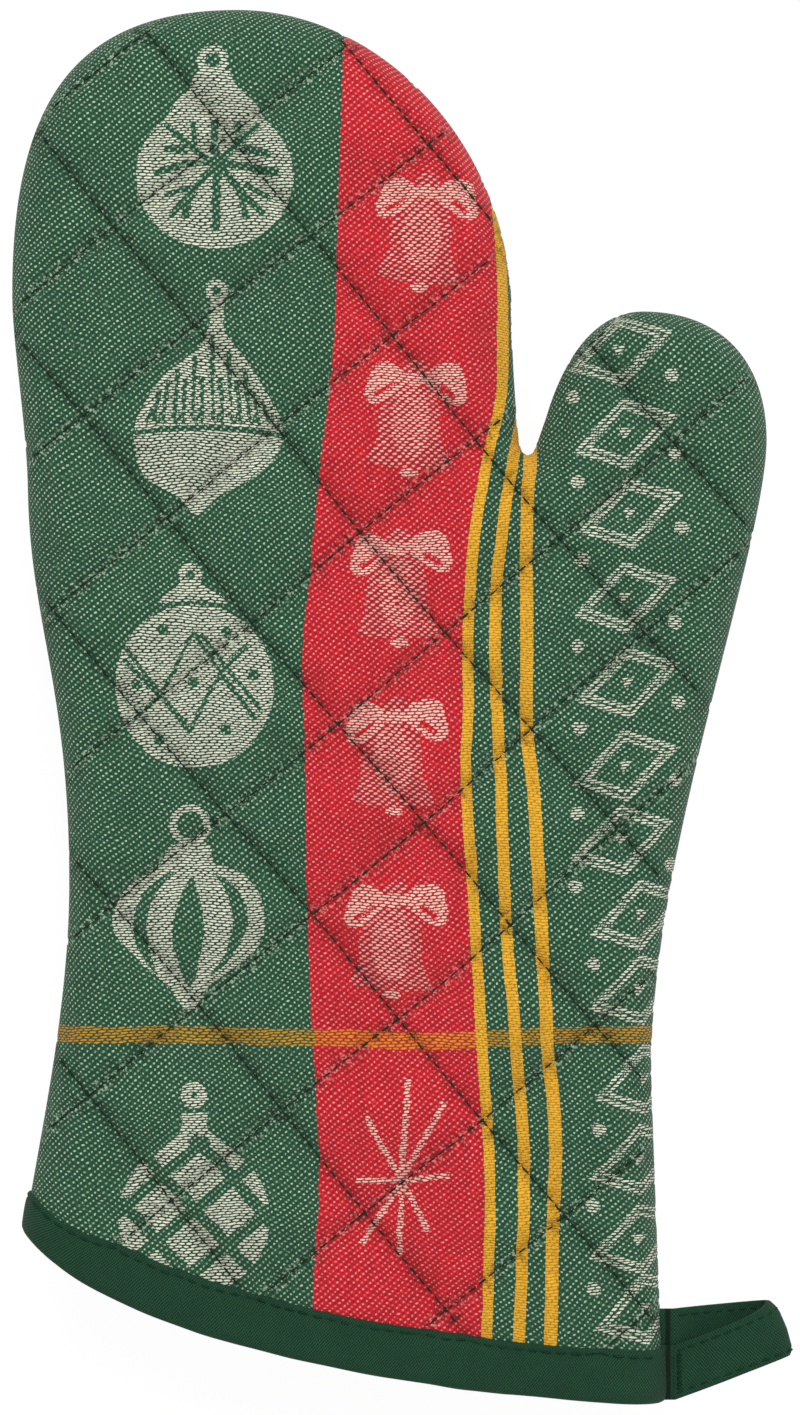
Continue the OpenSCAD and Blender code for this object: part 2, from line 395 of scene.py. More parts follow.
        wu, wv = weights(fu), weights(fv)
        out = np.zeros((len(p), 3))
        for a in range(4):
            for b in range(4):
                out += (wv[a] * wu[b])[:, None] * grid[j + a - 1, i + b - 1]
        return out

    def surface(self, p):
        """The outside of the shell above points in the plane."""
        d, place, _ = nearest(p, OUTLINE)
        z = self.base(p)
        move = self.moved(p) * np.clip(d / 4, 0, 1)[:, None]
        rise, fall = line_distance(p)
        crease = 0.8 * np.exp(-((np.minimum(rise, fall) / 1.0) ** 2)) * np.clip((d - 2) / 6, 0, 1)
        crease *= from_cuff(p) > BINDING_W - 2
        z = z + move[:, 2] - crease
        if self.sign < 0:
            z = np.minimum(z, HALF + 0.3)
        out = np.column_stack([p + move[:, :2], z])
        edge = np.exp(-((out[:, 2] / 0.9) ** 2)) * np.clip(1 - d / 3, 0, 1)  # the seam pulls the very edge in
        inward = p - place
        size = np.linalg.norm(inward, axis=1)
        pulled = inward / np.maximum(size, 1e-6)[:, None]
        flat_in = np.where(size[:, None] > 0.02, pulled, toward_inside(place))
        out[:, :2] += 0.3 * edge[:, None] * flat_in
        out[:, 2] = SEAM_Z + self.sign * np.maximum(out[:, 2], 0)
        return out

    def normal(self, p, reach=0.5):
        """Outward normals of the smooth surface."""
        dx = self.surface(p + [reach, 0]) - self.surface(p - [reach, 0])
        dy = self.surface(p + [0, reach]) - self.surface(p - [0, reach])
        return unit(np.cross(dx, dy) * self.sign)


def toward_inside(place):
    """The inward direction of the outline at the nearest place."""
    out = np.zeros(len(place), int)
    for k in range(0, len(place), CHUNK):
        q = place[k : k + CHUNK]
        out[k : k + CHUNK] = ((q[:, None, :] - OUTLINE[None]) ** 2).sum(2).argmin(1)
    return leftward(OUTLINE)[out]


# ---- The woven pattern: closed shapes in painting order ----

GREEN, RED, YELLOW, CREAM, PINK, GOLD, ORANGE, SOFT_PINK, MID_PINK = range(9)
RED_LEFT = spline([
    (-13, 170), (-14.2, 133), (-15.9, 84), (-19, 56), (-21.6, 29), (-23.2, 10),
    (-22.3, -20), (-22, -49), (-19.7, -96), (-19, -112), (-20.4, -134), (-20.8, -172),
])
STRIPES = [spline(line) for line in (
    [(21.5, 122), (22.6, 109), (23.3, 90), (22.8, 74), (20.2, 62), (16.4, 42), (15.1, 24), (14.8, 2),
     (14.4, -17), (16, -45), (18.0, -78), (19.8, -106), (19.9, -127), (18.8, -172)],
    [(28.6, 76), (27, 66), (24.7, 54), (22.3, 37), (21.3, 24), (21.4, 4), (22.6, -22), (23.6, -50),
     (25.8, -78), (28, -106), (27.4, -134), (26, -172)],
    [(30.4, 74), (29.6, 62), (28.4, 40), (28.6, 18), (28.5, -4), (30.1, -22), (31.8, -50), (33.2, -78),
     (35.2, -102), (34.4, -134), (33.6, -172)],
)]
STRIPE_WIDTHS = (2.6, 2.8, 3.1)
BAND_Y, BAND_W = -78, 4.0  # the line that crosses the pattern above the star


# The motifs are drawn round their own middles


def ring(x, y, outer, inner):
    return [(oval(x, y, outer), CREAM), (oval(x, y, inner), GREEN)]


def snow_ball():
    neck = [(-12, 13.2), (-9.6, 17), (-6, 21.4), (-4.2, 25), (3.4, 25), (5, 21.4), (9.2, 17.8), (12, 13.2)]
    arms = [
        ([(0, 0), (7, -0.6), (14.8, -2)], 2.0), ([(0, 0), (-7, 0.6), (-14.8, -2.3)], 1.4),
        ([(0, 0), (-0.3, -16.2)], 2.0), ([(0, 0), (-0.4, 4), (-0.8, 10.5)], 1.8),
        ([(0, 0), (-6.4, 4.4), (-12.4, 9.3)], 1.4), ([(-5.2, 4.6), (-5.8, 10)], 1.4),
        ([(-7, 3.6), (-12.2, 3.4)], 1.8), ([(0, 0), (4, 4), (10, 9.6)], 1.7),
        ([(5.2, 4.6), (4.6, 10.4)], 1.8), ([(6, 4), (12.6, 2.3)], 1.8),
        ([(0, 0), (-5.6, -6.4), (-11, -12.6)], 1.6), ([(-5.4, -5.8), (-12.8, -7)], 1.5),
        ([(-6.2, -6.4), (-7.5, -13)], 2.0), ([(0, 0), (6, -7), (11, -12)], 1.7),
        ([(5.4, -6.4), (7, -13)], 1.6), ([(6.4, -4.6), (12.4, -8)], 1.5),
    ]
    out = [(oval(0, 0, 18.6, 17.2), CREAM), (dense(neck, True), CREAM)] + ring(-0.4, 27.4, 3.7, 1.9)
    return out + [(ribbon(np.array(line) + [0.5, 2.9], width), GREEN) for line, width in arms]


def drop():
    body = [
        (1.4, 31), (0.4, 24), (-2.4, 19.2), (-10, 13), (-15.6, 4.6), (-16.8, -0.2), (-16.6, -7),
        (-15, -10.3), (-11.2, -13.1), (-6.2, -15.8), (-2.0, -20), (3.2, -15.4), (9.8, -12.1),
        (15.3, -7.6), (18, -2.2), (17.4, 3.6), (13.1, 11.2), (8.7, 18), (4.5, 24), (4.0, 31),
    ]
    belt = spline([(-17.4, -0.5), (-8, 0.5), (0, 0.7), (9, 0.3), (18.2, -1.0)])
    out = [(spline(body, True), CREAM)] + ring(2.4, 33.4, 2.6, 1.1) + [(ribbon(belt, 1.2), GREEN)]
    strokes = (
        (-14.4, 5.4, 1.6), (-12.6, 9.6, 3), (-10.4, 12, 1.8), (-7.8, 14.6, 2.4), (-5.8, 12, 1.4),
        (-3.4, 17.6, 4), (-1.4, 13, 1.4), (1.2, 23, 3.6), (3.4, 13, 1.2), (5.4, 19, 5.6),
        (7.6, 12, 1.6), (9.6, 15, 3.6), (12, 9.6, 1.2), (14.6, 7, 2),
    )
    for x, top, low in strokes:
        out.append((ribbon([(x * 0.9 + 0.4, top), (x + 0.5, low)], 1.2, 0.6), GREEN))
    for x in (-11.4, -6.8, -2.4, 2.3, 6.5, 10.8):
        out.append((ribbon([(x - 1.1, 4.2), (x, 1.6), (x + 1.1, 4.2)], 0.8), GREEN))
    return out


def zigzag_ball():
    cap = [(-7.4, 19), (-7, 21.4), (-3.6, 24), (-2.4, 27.6), (0.4, 27.6), (2.4, 24), (6.2, 21.4), (7.2, 19)]
    out = [(oval(0, 0, 18.8, 19.4), CREAM), (spline(cap, True), CREAM)] + ring(-1.0, 26.4, 2.8, 1.15)
    out.append((ribbon([(-8.6, 18.9), (0, 19.7), (8.6, 18.9)], 1.0), GREEN))
    lines = (
        [(-16.4, 9.4), (-7.9, -1.9), (-1.0, -11), (6.2, 3.2), (12.8, 10)],
        [(-14.8, -8.4), (-7.9, -1.9), (-0.1, 12.8), (6.2, 3.2), (14.4, -7.8)],
        [(1.6, 12.4), (7.6, 4.4), (16, -6)],
        [(-1.6, -8.8), (-9.4, -1), (-16.6, 6.4)],
    )
    out += [(ribbon(line, 1.05), GREEN) for line in lines]
    dots = (-7.3, 13.4), (7.6, 12.8), (-13.7, 0.6), (-0.2, 0.8), (14.2, 2.6), (-8.4, -12.6), (7.6, -10.4)
    return out + [(oval(x, y, 1.35), GREEN) for x, y in dots]


def onion():
    body = [
        (-3.9, 18.2), (-7.4, 13.2), (-13.6, 9.1), (-16.9, 5), (-18.2, 0.8), (-17.3, -3.3), (-13.6, -7.4),
        (-9.1, -11.6), (-4.5, -15.7), (-1.2, -20.6), (1.2, -20.6), (3.3, -17.3), (6.6, -13.6), (12, -10.4),
        (15.3, -7.4), (17.5, -3.3), (17.8, 0.8), (16.9, 6), (14, 10.4), (10.2, 12.6), (5.6, 14), (4.6, 18.2),
    ]
    slits = (
        [(0.4, 10.6), (3.3, 2), (3.3, -5), (0, -15.6), (-3.7, -5), (-3.2, 2)],
        [(-3.3, 12.4), (-10.3, 7.4), (-13, 0.8), (-12.8, -5), (-7.6, -12.6), (-9.6, -5.8), (-9.8, 0.8),
         (-7.6, 7)],
        [(5.4, 12), (11.6, 7.4), (13.9, 1.7), (13.2, -3.3), (9.5, -9.1), (4.8, -13), (8.2, -8), (10, -3.3),
         (10.4, 1.7), (8.2, 8)],
    )
    out = [(spline(body, True), CREAM)] + ring(0.2, 23, 4.9, 3.2)
    return out + [(spline(slit, True), GREEN) for slit in slits]


def lattice_ball():
    neck = [(-10.2, 14), (-6, 18), (-3, 21), (-2.8, 25), (3, 25), (3.2, 21), (6.6, 18), (11, 14)]
    out = [(oval(0, 0, 18.0), CREAM), (dense(neck, True), CREAM)] + ring(0, 29.2, 3.1, 0.9)
    for angle, gap in ((39, 11.4), (-46.8, 11.7)):
        a = math.radians(angle)
        run, across = np.array([math.cos(a), math.sin(a)]), np.array([-math.sin(a), math.cos(a)])
        for k in (-1, 0, 1):
            t = np.linspace(-20, 20, 30)[:, None]
            p = np.array([0.25, 1.9]) + run * t + across * (gap * k - 0.0024 * k * t * t)
            out.append((ribbon(p[np.linalg.norm(p, axis=1) < 19.4], 2.8), GREEN))
    return out


def bell(turn):
    left = [
        (-2.0, 0.8), (-6.1, 3.9), (-9.5, 2.8), (-11.1, -0.9), (-12, -4.2), (-10.7, -6.2), (-7.8, -6.0),
        (-4.6, -3.6), (-2.0, -0.9),
    ]
    right = [
        (2.0, 0.8), (4.9, 3.3), (8.4, 3.9), (11, 2.7), (12, -0.9), (12.4, -4.2), (10.7, -6.0), (7.8, -5.4),
        (4.9, -3.2), (2.0, -0.9),
    ]
    body = [
        (-4.6, -2.6), (0, -1.6), (4.4, -2.6), (6.0, -7.2), (6.2, -14), (8.6, -20.6), (4, -21.4), (-2, -21.2),
        (-7, -20.8), (-10.6, -19.2), (-8.4, -14), (-8.2, -8.6),
    ]
    light = [(-3.4, -3), (1, -2.4), (3.6, -8), (3.2, -14), (1.4, -18.4), (-2.6, -18), (-5.2, -13), (-5, -7)]
    knot = [(-3.2, 1.0), (-2.6, 3.2), (0.2, 4.8), (2.6, 3.8), (3.0, 1.0), (0, 0.6)]
    closed = (body, SOFT_PINK), (light, MID_PINK), (knot, SOFT_PINK), (left, PINK), (right, PINK)
    out = [(spline(line, True), colour) for line, colour in closed]
    out.append((oval(0, 0, 2.8, 1.7), PINK))
    out.append((ribbon(spline([(-9.4, -4.2), (-7.4, -3.2), (-4.8, -1.2)]), 1.2, 0.5), RED))
    out.append((ribbon(spline([(6.0, -1.8), (7.8, -2.6), (9.6, -4.4)]), 1.7, 0.8), RED))
    out.append((oval(-0.9, -22.4, 2.2, 1.1), PINK))
    c, s = math.cos(turn), math.sin(turn)
    return [(shape @ np.array([[c, s], [-s, c]]), colour) for shape, colour in out]


def star():
    ends = [(-8.4, 15.5), (1.4, 24.4), (9.8, 18.8), (-11, 0.5)]
    ends += [(11.2, 1.6), (-9.5, -14.7), (-0.5, -17.8), (6.4, -11.4)]
    return [(ribbon([(0, 0), end], 1.25, 1.15), PINK) for end in ends]


def diamond():
    corners = np.array([(-12.2, -4.6), (-0.4, 8.4), (12.6, 4.4), (0.6, -8.6)])
    scaled = (1.0, CREAM), (0.865, GREEN), (0.795, CREAM), (0.665, GREEN)
    out = [(dense(corners * scale, True), colour) for scale, colour in scaled]
    return out + [(dense([(-1.5, 1.2), (1.7, 1.0), (-0.6, -1.6)], True), CREAM)]


BALLS = (
    (snow_ball, -43.9, 125.6), (drop, -46, 65.2), (zigzag_ball, -48.8, 4.7), (onion, -50, -51.2),
    (lattice_ball, -48.8, -121.4),
)
BELLS = (6.2, 121.6, -0.04), (3.6, 77.6, -0.03), (-0.2, 37.4, 0.04), (-1.2, -2.6, 0.03), (-1.2, -46.1, 0)
DIAMONDS = (
    (52.2, 84.4), (53.3, 64.7), (54.5, 45.8), (53.3, 25.8), (53.8, 5.7), (53.3, -14), (52.6, -31.8),
    (56.9, -49.5), (56.9, -67.3), (58.1, -88.7), (56.9, -107.6), (56.9, -126.6), (58.1, -143.2),
)


def pattern():
    """All shapes in painting order, each with its colour."""
    first = STRIPES[0]
    top = np.concatenate([RED_LEFT[:1], first[:1], [(60, 122), (60, 190), (-13, 190)]])
    shapes = [(np.concatenate([RED_LEFT, first[::-1]]), RED), (dense(top, True), RED)]
    level = spline([(-100, -78), (-60, -78), (-20, -78.6), (5, -79.6), (30, -78.4), (60, -78), (75, -78)])
    middle = (level[:, 0] > np.interp(BAND_Y, RED_LEFT[::-1, 1], RED_LEFT[::-1, 0])) & (level[:, 0] < 20)
    shapes += [(ribbon(level, BAND_W), GOLD), (ribbon(level[middle], BAND_W), ORANGE)]
    for line, width in zip(STRIPES, STRIPE_WIDTHS):
        shapes.append((np.concatenate([line, (line + [width, 0])[::-1]]), YELLOW))

    def put(motif, x, y):
        shapes.extend((shape + [x, y], colour) for shape, colour in motif)

    for ball, x, y in BALLS:
        put(ball(), x, y)
    for x, y, turn in BELLS:
        put(bell(turn), x, y)
    put(star(), 0.5, -112.8)
    for k, (x, y) in enumerate(DIAMONDS):
        put(diamond(), x, y)
        for dx, dy in ((-11.2, -11 - 0.6 * (k % 2)), (12, -6 + 1.2 * (k % 3))):
            if abs(y + dy - BAND_Y) > BAND_W:
                shapes.append((oval(x + dx, y + dy, 1.7), CREAM))
    return shapes


# ---- Meshes ----


def make(name, points, faces, materials=(), index=None, normals=None, attributes=None, smooth=True):
    """A mesh object from points in millimetres."""
    mesh = bpy.data.meshes.new(name)
    mesh.from_pydata((np.asarray(points) * MM).tolist(), [], [list(map(int, f)) for f in faces])
    for m in materials:
        mesh.materials.append(m)
    if index is not None:
        mesh.polygons.foreach_set("material_index", np.asarray(index, np.int32))
    mesh.polygons.foreach_set("use_smooth", np.full(len(mesh.polygons), smooth))
    for key, values in (attributes or {}).items():
        a = mesh.attributes.new(key, "FLOAT_VECTOR", "POINT")
        a.data.foreach_set("vector", np.asarray(values, np.float32).ravel())
    if normals is not None:
        mesh.normals_split_custom_set_from_vertices(np.asarray(normals, float).tolist())
    mesh.update()
    obj = bpy.data.objects.new(name, mesh)
    bpy.context.scene.collection.objects.link(obj)
    return obj


def boundary(faces):
    """Edges with one face, in that face's direction."""
    e = np.concatenate([faces[:, [0, 1]], faces[:, [1, 2]], faces[:, [2, 0]]])
    key = np.sort(e, axis=1)
    _, first, count = np.unique(key, axis=0, return_index=True, return_counts=True)
    return e[first[count == 1]]


def compact(faces, *arrays):
    used, where = np.unique(faces, return_inverse=True)
    return where.reshape(faces.shape), [a[used] for a in arrays]


def rim_ease(d):
    """Length of cloth over the rounded edge, from the top down to distance d from the seam."""
    a = np.arccos(np.clip(1 - d / RIM, 0, 1))
    return np.where(d < RIM, (RIM + HALF) / 2 * (math.pi / 2 - a), RIM - d)


RIM_ANGLES = (9, 18, 28, 39, 51, 64, 77)  # rows of points round the rounded edge
CUFF_EASE = 0.7  # the plies end this far inside the cuff edge


def plane_mesh(shapes, step):
    """A triangulated flat pattern whose edges follow the shapes: its points, triangles and colours."""
    loose = staggered(step)
    d, _, _ = nearest(loose, OUTLINE)
    loose = loose[inside(loose, OUTLINE) & (d > 3)]
    for angle in RIM_ANGLES:
        inset = RIM * (1 - math.cos(math.radians(angle)))
        r = side_of(OUTLINE, inset)
        d, _, _ = nearest(r, OUTLINE)
        loose = np.concatenate([loose, r[inside(r, OUTLINE) & (d > inset * 0.97)]])
    lines = np.concatenate(quilt_lines(step * 0.9))
    loose = np.concatenate([loose, lines[inside(lines, OUTLINE)]])
    points, edges = [loose], []
    count = len(loose)

    def add(line, closed):
        nonlocal count
        n = len(line)
        points.append(line)
        last = n if closed else n - 1
        edges.extend((count + i, count + (i + 1) % n) for i in range(last))
        count += n

    add(OUTLINE, True)
    add(CUFF + [0, CUFF_EASE], False)
    add(dense([(-100, SPLIT_Y), (CROTCH[0], SPLIT_Y), CROTCH], step=step), False)
    box_low, box_high = OUTLINE.min(0) - 3, OUTLINE.max(0) + 3
    for shape, _ in shapes:
        shape = np.clip(shape, box_low, box_high)
        keep = np.linalg.norm(shape - np.roll(shape, 1, axis=0), axis=1) > 0.05
        add(shape[keep], True)
    everything = np.concatenate(points)
    verts, _, faces, _, _, _ = delaunay_2d_cdt([Vector(q) for q in everything], edges, [], 0, 1e-3)
    flat = np.array([tuple(v) for v in verts])
    tri = np.array(faces)
    mid = flat[tri].mean(1)
    keep = inside(mid, OUTLINE) & (mid[:, 1] > np.interp(mid[:, 0], CUFF[:, 0], CUFF[:, 1] + CUFF_EASE))
    tri, mid = tri[keep], mid[keep]
    colour = np.zeros(len(tri), int)
    for shape, c in shapes:
        colour[inside(mid, np.clip(shape, box_low, box_high))] = c
    turned = np.cross(flat[tri[:, 1]] - flat[tri[:, 0]], flat[tri[:, 2]] - flat[tri[:, 0]]) < 0
    tri[turned] = tri[turned][:, ::-1]
    return flat, tri, colour


def vertex_normals(points, faces):
    """Area-weighted, so that thin triangles don't spoil the shading."""
    n = np.cross(points[faces[:, 1]] - points[faces[:, 0]], points[faces[:, 2]] - points[faces[:, 0]])
    out = np.zeros_like(points)
    for k in range(3):
        np.add.at(out, faces[:, k], n)
    return unit(out, 1e-12)


def fabric(p, d, place, sign):
    """Cloth coordinates: the plane's own, let out over the rounded edge, where the weave isn't stretched."""
    out = p.copy()
    near = d < RIM
    out[near] += toward_inside(place[near]) * (RIM - d[near] - rim_ease(d[near]))[:, None]
    return np.column_stack([out, np.full(len(p), sign * 1.0)])


def bend(obj, fingers):
    """Bakes the object's transform into its mesh, the same for the fingers and the hand."""
    if fingers:
        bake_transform(obj)
    else:
        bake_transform(obj)


def laid(side, shapes, step):
    """A flat pattern laid over a side: points, triangles and all that a ply reads at them."""
    flat, tri, colour = plane_mesh(shapes, step)
    top = side.surface(flat)
    if side.sign < 0:
        tri = tri[:, ::-1]
    d, place, _ = nearest(flat, OUTLINE)
    cloth = fabric(flat, d, place, side.sign)
    quilt = np.column_stack([cells(flat), np.zeros(len(flat))])
    return flat, tri, colour, top, vertex_normals(top, tri), cloth, quilt


def ply(name, outer, inner, materials, flat, tri, colour, top, normals, cloth, quilt):
    """A ply between two depths below the shell's outside, as closed pieces: fingers, and hand with thumb."""
    made = []
    mid = flat[tri].mean(1)
    is_finger = (mid[:, 1] > SPLIT_Y) & (mid[:, 0] < CROTCH[0])
    for fingers in (True, False):
        part = is_finger == fingers
        faces, (a, n, fab, cell) = compact(tri[part], top, normals, cloth, quilt)
        count = len(a)
        points = np.concatenate([a - n * outer, a - n * inner])
        one, two = boundary(faces).T
        walls = [np.stack([two, one, one + count], 1), np.stack([two, one + count, two + count], 1)]
        all_faces = np.concatenate([faces, faces[:, ::-1] + count, *walls])
        index = np.zeros(len(all_faces), int)
        index[: len(faces)] = colour[part]
        maps = {"fab": np.concatenate([fab, fab]), "quilt": np.concatenate([cell, cell])}
        word = "fingers" if fingers else "hand"
        obj = make(f"{name}_{word}", points, all_faces, materials, index, np.concatenate([n, -n]), maps)
        bend(obj, fingers)
        made.append(obj)
    return made


# ---- Sewn and solid details ----


def sweep(stations, sides):
    """Faces of a closed solid given as rings of points, one after the other."""
    faces = []
    for i in range(stations - 1):
        for k in range(sides):
            m = (k + 1) % sides
            faces.append((i * sides + k, (i + 1) * sides + k, (i + 1) * sides + m, i * sides + m))
    last = (stations - 1) * sides
    return faces + [tuple(range(sides)), tuple(last + k for k in reversed(range(sides)))]


def tube(path, radius, sides=6):
    """Points and faces of a closed round thread along a path; radius is one number or one for each point."""
    path = np.asarray(path, float)
    r = np.broadcast_to(radius, len(path))[:, None, None]
    d = unit(np.gradient(path, axis=0))
    a = np.cross(d, [0, 0, 1])
    a[np.linalg.norm(a, axis=1) < 1e-3] = [1, 0, 0]
    a = unit(a, 0)
    b = np.cross(a, d)
    t = np.linspace(0, 2 * math.pi, sides, endpoint=False)[None, :, None]
    rings = path[:, None] + r * (np.cos(t) * a[:, None] + np.sin(t) * b[:, None])
    return rings.reshape(-1, 3), sweep(len(path), sides)


class Heap:
    """Collects many small solids into one mesh."""

    def __init__(self):
        self.points, self.faces, self.count = [], [], 0

    def add(self, points, faces):
        self.points.append(points)
        self.faces.extend(tuple(i + self.count for i in f) for f in faces)
        self.count += len(points)

    def make(self, name, material):
        return make(name, np.concatenate(self.points), self.faces, [material])


def stitches(line, height, heap, length=2.7, pitch=2.95, radius=0.27, dip=0.3, keep=None):
    """Stitches along a plane line. height gives points in space above plane points, and their normals."""
    s = arc(line)
    starts = np.arange(0.4, s[-1] - length, pitch)
    if not len(starts):
        return
    share = np.linspace(0, 1, 6)
    flat = read((starts[:, None] + share[None] * length).ravel(), s, line)
    where, normal = height(flat)
    rise = (np.sin(share * math.pi) ** 0.5 * (dip + 0.1) - dip)[None, :, None]
    where = where.reshape(-1, 6, 3) + rise * normal.reshape(-1, 6, 3)
    where[:, :, :2] += rng.normal(0, 0.04, (len(starts), 1, 2))
    r = radius * (0.62 + 0.38 * np.sin(share * math.pi) ** 0.5)
    for k in range(len(starts)):
        if keep is None or keep(flat[6 * k : 6 * k + 6]):
            heap.add(*tube(where[k], r * rng.uniform(0.92, 1.08)))


def quilt_thread(side, name, material):
    """The quilting stitches of one side, as two pieces."""
    heaps = {"fingers": Heap(), "hand": Heap()}

    def height(p):
        return side.surface(p), side.normal(p)

    def belongs(stitch, key):
        x, y = stitch.mean(0)
        return (y > SPLIT_Y and x < CROTCH[0]) == (key == "fingers")
    for line in quilt_lines(1.2):
        d, _, _ = nearest(line, OUTLINE)
        ok = inside(line, OUTLINE) & (d > 1.6) & (from_cuff(line) > BINDING_W + 0.6)
        runs = np.split(np.arange(len(line)), np.flatnonzero(np.diff(ok.astype(int))) + 1)
        for run in runs:
            if not ok[run[0]] or len(run) < 6:
                continue
            for key in heaps:
                stitches(line[run], height, heaps[key], keep=lambda q, key=key: belongs(q, key))
    out = []
    for key, heap in heaps.items():
        obj = heap.make(f"{name}_{key}", material)
        bend(obj, key == "fingers")
        out.append(obj)
    return out


def cuff_line(c):
    """Points at distance c inside the cuff edge, from left seam to right, closer near the seams."""
    line = dense(side_of(dense(CUFF, step=0.8), c), step=0.25)
    ok = np.flatnonzero(inside(line, OUTLINE))
    line = line[ok[0] : ok[-1] + 1]
    s = arc(line)
    near = RIM * (1 - np.cos(np.radians(np.linspace(0, 90, 12))))
    at = np.concatenate([near, np.linspace(RIM, s[-1] - RIM, 64)[1:-1], (s[-1] - near)[::-1]])
    return read(at, s, line), at


def cuff_row(c):
    """The same line as it is sewn: the binding is narrower towards the left seam."""
    p, at = cuff_line(max(c, 0.05))
    low, _ = cuff_line(max(c * 0.62, 0.05))
    t = np.clip(at / 34, 0, 1)[:, None]
    t = t * t * (3 - 2 * t)
    return p * t + low * (1 - t), at


def cuff_ring(front, back, c, depth):
    """A closed ring of points round the cuff, at distance c from its edge and depth below the shell."""
    p, at = cuff_row(c)
    out, along = [], []
    for side in (front, back):
        q, n = side.surface(p), side.normal(p)
        n[0], n[-1] = [-1, -0.05, 0], [1, -0.05, 0]  # straight out at the side seams
        d, _, _ = nearest(p, OUTLINE)
        blend = np.clip(1 - d / 1.2, 0, 1)[:, None]
        level = np.outer(np.where(np.arange(len(p)) < len(p) / 2, -1.0, 1.0), [1, 0, 0])
        n = unit(n * (1 - blend) + level * blend, 0)
        pts, at_here = q - n * depth, at
        pts[:, 1] += min(c, 0)
        if side is back:
            pts, at_here = pts[::-1][1:-1], at[-1] + (at[-1] - at[::-1][1:-1])
        out.append(pts)
        along.append(at_here)
    return np.concatenate(out), np.concatenate(along)


def ring_solid(name, profile, front, back, material, wave):
    """A closed profile of (distance from the cuff edge, depth) swept round the cuff."""
    rings, fab = [], []
    profile = np.array(profile, float)
    for (c, depth), run in zip(profile, arc(profile)):
        points, along = cuff_ring(front, back, c, depth)
        if depth < 2:
            ripple = bumps(np.column_stack([along, np.full(len(along), run * 0.6)]), 5, ((23, 1.0), (9, 0.6)))
            points[:, 2] += wave * ripple * np.sign(points[:, 2] - SEAM_Z)
        rings.append(points)
        fab.append(np.column_stack([along, np.full(len(along), run), np.zeros(len(along))]))
    m, n = len(rings), len(rings[0])
    faces = []
    for i in range(m):
        j = (i + 1) % m
        faces += [(i * n + k, j * n + k, j * n + (k + 1) % n, i * n + (k + 1) % n) for k in range(n)]
    return make(name, np.concatenate(rings), faces, [material], attributes={"fab": np.concatenate(fab)})


LOOP_X, LOOP_REACH, LOOP_GAP, TAPE_W, TAPE_T = 65.0, 26.0, 4.6, 13.0, 1.4
LOOP_BASE, LOOP_TIP = (-158.0, -149.5), -147.5


def loop_middle(t):
    """Middle of the folded tape: out along the upper leg, round the tip at 180 degrees and back below."""
    t = np.asarray(t, float)
    a = np.radians(t)
    out = (1 - np.cos(a)) / 2
    base = np.where(t < 180, LOOP_BASE[0], LOOP_BASE[1])
    y = base + (LOOP_TIP - base) * out
    z = SEAM_Z + LOOP_GAP * np.sin(a) * np.sin(a / 2) + (TAPE_T / 2 + 0.05) * np.cos(a / 2)
    return np.stack([LOOP_X + LOOP_REACH * out, y, z], -1)


def loop_slant(x, a):
    """The tip of the loop isn't square: its lower corner goes further out, and both corners are round."""
    return (-2.4 * a - 1.6 * a**4) * np.clip((x - LOOP_X) / LOOP_REACH, 0, 1) ** 5


def loop_tape(thread):
    """The loop's tape, from inside the side seam out and back, with a row of stitches along each edge."""
    t = np.concatenate([np.full(5, 0.0), np.linspace(0, 360, 97), np.full(5, 360.0)])
    mid = loop_middle(t)
    lead = np.linspace(5.4, 0.9, 5)
    mid[:5, 0] -= lead
    mid[-5:, 0] -= lead[::-1]
    d = np.gradient(mid, axis=0)
    n = -unit(np.stack([d[:, 2], np.zeros(len(d)), -d[:, 0]], 1), 0)
    w = np.array([0, TAPE_W / 2, 0])

    def at_edge(a, out):
        """The line at share a of the half width, moved out by that much."""
        slant = loop_slant(mid[:, 0], a)[:, None] * [1, 0, 0]
        return mid + w * a + n * np.reshape(out, (-1, 1)) + slant

    upper = [(-0.97, 0.48), (-0.84, 0.5), (-0.62, 0.47), (0, 0.5), (0.62, 0.47), (0.84, 0.5), (0.97, 0.48)]
    section = [(-1, -0.45), *upper, (1, 0.45), (1, -0.45), *((a, -b) for a, b in upper[::-1])]
    s = arc(mid)
    rings = []
    for a, b in section:
        ripple = 0.12 * np.sin(s / 5.2 + a * 2) * (1 - 0.4 * abs(a))
        rings.append(at_edge(a, b * TAPE_T + ripple))
    m, k = len(rings), len(mid)
    points = np.array(rings).transpose(1, 0, 2).reshape(-1, 3)
    fab = np.stack([np.repeat(s, m), np.tile([a * TAPE_W / 2 for a, _ in section], k), np.zeros(m * k)], 1)
    # the loop cloth gets painted shadow a little way in from each end of the tape, where it comes out of the
    # side seam
    material = tape_cloth("loop_cloth_painted_shadow", *TAPE_COLOURS, fold_shadow=(s[-1] / 2, s[-1] / 2 - 3.9))
    tape = make("loop_tape", points, sweep(k, m), [material], attributes={"fab": fab})
    heap = Heap()
    arch = np.sin(np.linspace(0, math.pi, 5))
    for edge in (-1, 1):
        for face in (-1, 1):
            line = at_edge(edge * 0.76, face * 0.52 * TAPE_T)
            for start in np.arange(6.2, s[-1] - 7.5, 3.0):
                at = start + np.linspace(0, 2.2, 5)
                q = read(at, s, line) + face * read(at, s, n) * (arch**0.5 * 0.3 - 0.18)[:, None]
                heap.add(*tube(q, 0.2 * (0.65 + 0.35 * arch)))
    return tape, heap.make("loop_stitching", thread)


# ---- Materials ----


def linear(rgb):
    c = np.array(rgb, float) / 255
    return tuple(np.where(c <= 0.04045, c / 12.92, ((c + 0.055) / 1.055) ** 2.4)) + (1.0,)


def darker(rgb, share):
    return tuple(int(c * share) for c in rgb)


def operation(op):
    return lambda self, other=0.0: self.graph.node("Math", 0, {0: self, 1: other}, operation=op)


